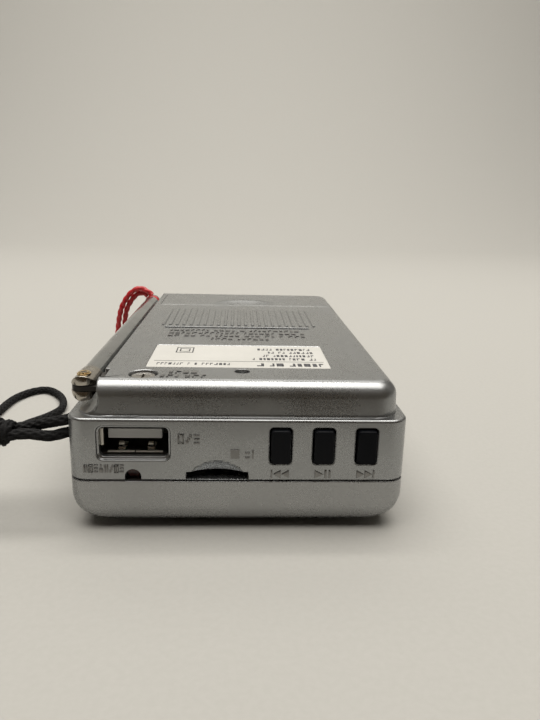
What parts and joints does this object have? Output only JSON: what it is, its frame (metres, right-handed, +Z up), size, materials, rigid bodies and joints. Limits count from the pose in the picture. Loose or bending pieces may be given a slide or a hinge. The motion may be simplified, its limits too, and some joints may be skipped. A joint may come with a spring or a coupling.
{
  "type": "pocket radio",
  "caption": "Slim pocket radio lying face down: stepped back with sliding battery door, folding telescopic antenna, thumb wheels, socket end with push buttons, wrist strap.",
  "frame": {"origin": "middle of the flat land of the front face, on the surface the radio lies on", "axes": "+Z up through the back cover, +Y from the socket end to the battery end, -X is the antenna side"},
  "size_m": [0.1033, 0.1089, 0.0313],
  "materials": {
    "case_silver": "satin silver paint with fine metallic flake on moulded plastic",
    "door_silver": "satin silver paint with fine metallic flake on moulded plastic",
    "window_clear": "clear polished acrylic",
    "label_paper": "off-white printed label, semi-gloss",
    "button_black": "black satin moulding",
    "wheel_black": "dark grey knurled moulding",
    "antenna_chrome": "dulled nickel-chrome plate",
    "steel_dark": "zinc-plated steel",
    "steel_bright": "nickel-plated sheet steel",
    "rivet_brass": "worn nickel over brass",
    "gold_contact": "gold-flashed contact",
    "tongue_plastic": "light grey nylon",
    "board_green": "green solder mask",
    "board_brown": "phenolic paper board",
    "chip_black": "moulded epoxy",
    "white_plastic": "white moulding",
    "can_metal": "tinned steel can",
    "cap_sleeve": "shrink sleeve",
    "ferrite": "sintered ferrite",
    "coil_wire": "enamelled copper winding",
    "cone_paper": "pressed black paper",
    "jack_black": "black moulding",
    "led_red": "tinted epoxy lens",
    "cell_jacket": "printed foil jacket",
    "strap_black": "black braided polyester cord",
    "tie_red": "red braided cord"
  },
  "bodies": {
    "case": {"front_case": "case_silver", "rear_case": "case_silver", "dial_window": "window_clear", "spec_label": "label_paper", "antenna_screw": "steel_dark", "case_screws": "steel_dark", "board_screws": "steel_dark", "antenna_bracket": "steel_bright", "player_pcb": "board_green", "usb_shell": "steel_bright", "usb_springs": "steel_bright", "usb_tongue": "tongue_plastic", "usb_contacts": "gold_contact", "card_socket": "steel_bright", "tact_switches": "steel_bright", "play_led": "led_red", "player_chips": "chip_black", "main_pcb": "board_brown", "tuning_capacitor": "white_plastic", "volume_pot": "steel_bright", "tuner_ic": "chip_black", "audio_ic": "chip_black", "if_cans": "can_metal", "capacitors": "cap_sleeve", "ferrite_rod": "ferrite", "antenna_coil": "coil_wire", "rod_holders": "white_plastic", "speaker_frame": "steel_bright", "speaker_magnet": "ferrite", "speaker_cone": "cone_paper", "earphone_jack": "jack_black", "band_switch": "steel_bright", "battery_1": "cell_jacket", "battery_2": "cell_jacket", "battery_link": "steel_bright", "battery_plate": "steel_bright", "battery_spring": "steel_bright", "strap_cord": "strap_black", "strap_knot": "strap_black"},
    "prev_button_body": {"prev_button": "button_black"},
    "play_button_body": {"play_button": "button_black"},
    "next_button_body": {"next_button": "button_black"},
    "antenna_swivel_body": {"antenna_stud": "antenna_chrome"},
    "antenna_base": {"antenna_fork": "antenna_chrome", "antenna_rivet": "rivet_brass", "antenna_tube_1": "antenna_chrome"},
    "antenna_section_2": {"antenna_tube_2": "antenna_chrome"},
    "antenna_section_3": {"antenna_tube_3": "antenna_chrome"},
    "antenna_section_4": {"antenna_rod": "antenna_chrome", "antenna_tip": "steel_dark", "tie_cord": "tie_red", "tie_hitch": "tie_red"},
    "tuning": {"tuning_wheel": "wheel_black", "dial_disc": "white_plastic", "tuning_screw": "steel_dark"},
    "volume": {"volume_wheel": "wheel_black", "volume_screw": "steel_dark"},
    "band_selector": {"band_knob": "button_black"},
    "door": {"battery_door": "door_silver"}
  },
  "joints": [
    {"name": "prev_press", "type": "slide", "parent": "case", "child": "prev_button_body", "axis": [0, 1, 0], "range_m": [0, 0.0007], "stiffness_N_per_m": 900, "springref_m": -0.0004},
    {"name": "play_press", "type": "slide", "parent": "case", "child": "play_button_body", "axis": [0, 1, 0], "range_m": [0, 0.0007], "stiffness_N_per_m": 900, "springref_m": -0.0004},
    {"name": "next_press", "type": "slide", "parent": "case", "child": "next_button_body", "axis": [0, 1, 0], "range_m": [0, 0.0007], "stiffness_N_per_m": 900, "springref_m": -0.0004},
    {"name": "antenna_swivel", "type": "hinge", "parent": "case", "child": "antenna_swivel_body", "pos_m": [-0.0255, -0.0466, 0.0259], "axis": [1, 0, 0], "range_deg": [0, 180]},
    {"name": "antenna_fold", "type": "hinge", "parent": "antenna_swivel_body", "child": "antenna_base", "pos_m": [-0.0288, -0.0466, 0.0259], "axis": [0, 0, 1], "range_deg": [0, 90]},
    {"name": "antenna_extend_2", "type": "slide", "parent": "antenna_base", "child": "antenna_section_2", "axis": [0, 1, 0], "range_m": [0, 0.072]},
    {"name": "antenna_extend_3", "type": "slide", "parent": "antenna_section_2", "child": "antenna_section_3", "axis": [0, 1, 0], "range_m": [0, 0.072]},
    {"name": "antenna_extend_4", "type": "slide", "parent": "antenna_section_3", "child": "antenna_section_4", "axis": [0, 1, 0], "range_m": [0, 0.072]},
    {"name": "tuning_turn", "type": "hinge", "parent": "case", "child": "tuning", "pos_m": [0.0202, -0.021, 0.0082], "axis": [0, 0, 1], "range_deg": [-90, 90]},
    {"name": "volume_turn", "type": "hinge", "parent": "case", "child": "volume", "pos_m": [0.0237, 0.003, 0.0082], "axis": [0, 0, 1], "range_deg": [0, 270]},
    {"name": "band_slide", "type": "slide", "parent": "case", "child": "band_selector", "axis": [0, 1, 0], "range_m": [0, 0.004]},
    {"name": "door_slide", "type": "slide", "parent": "case", "child": "door", "axis": [0, 1, 0], "range_m": [0, 0.026]}
  ]
}
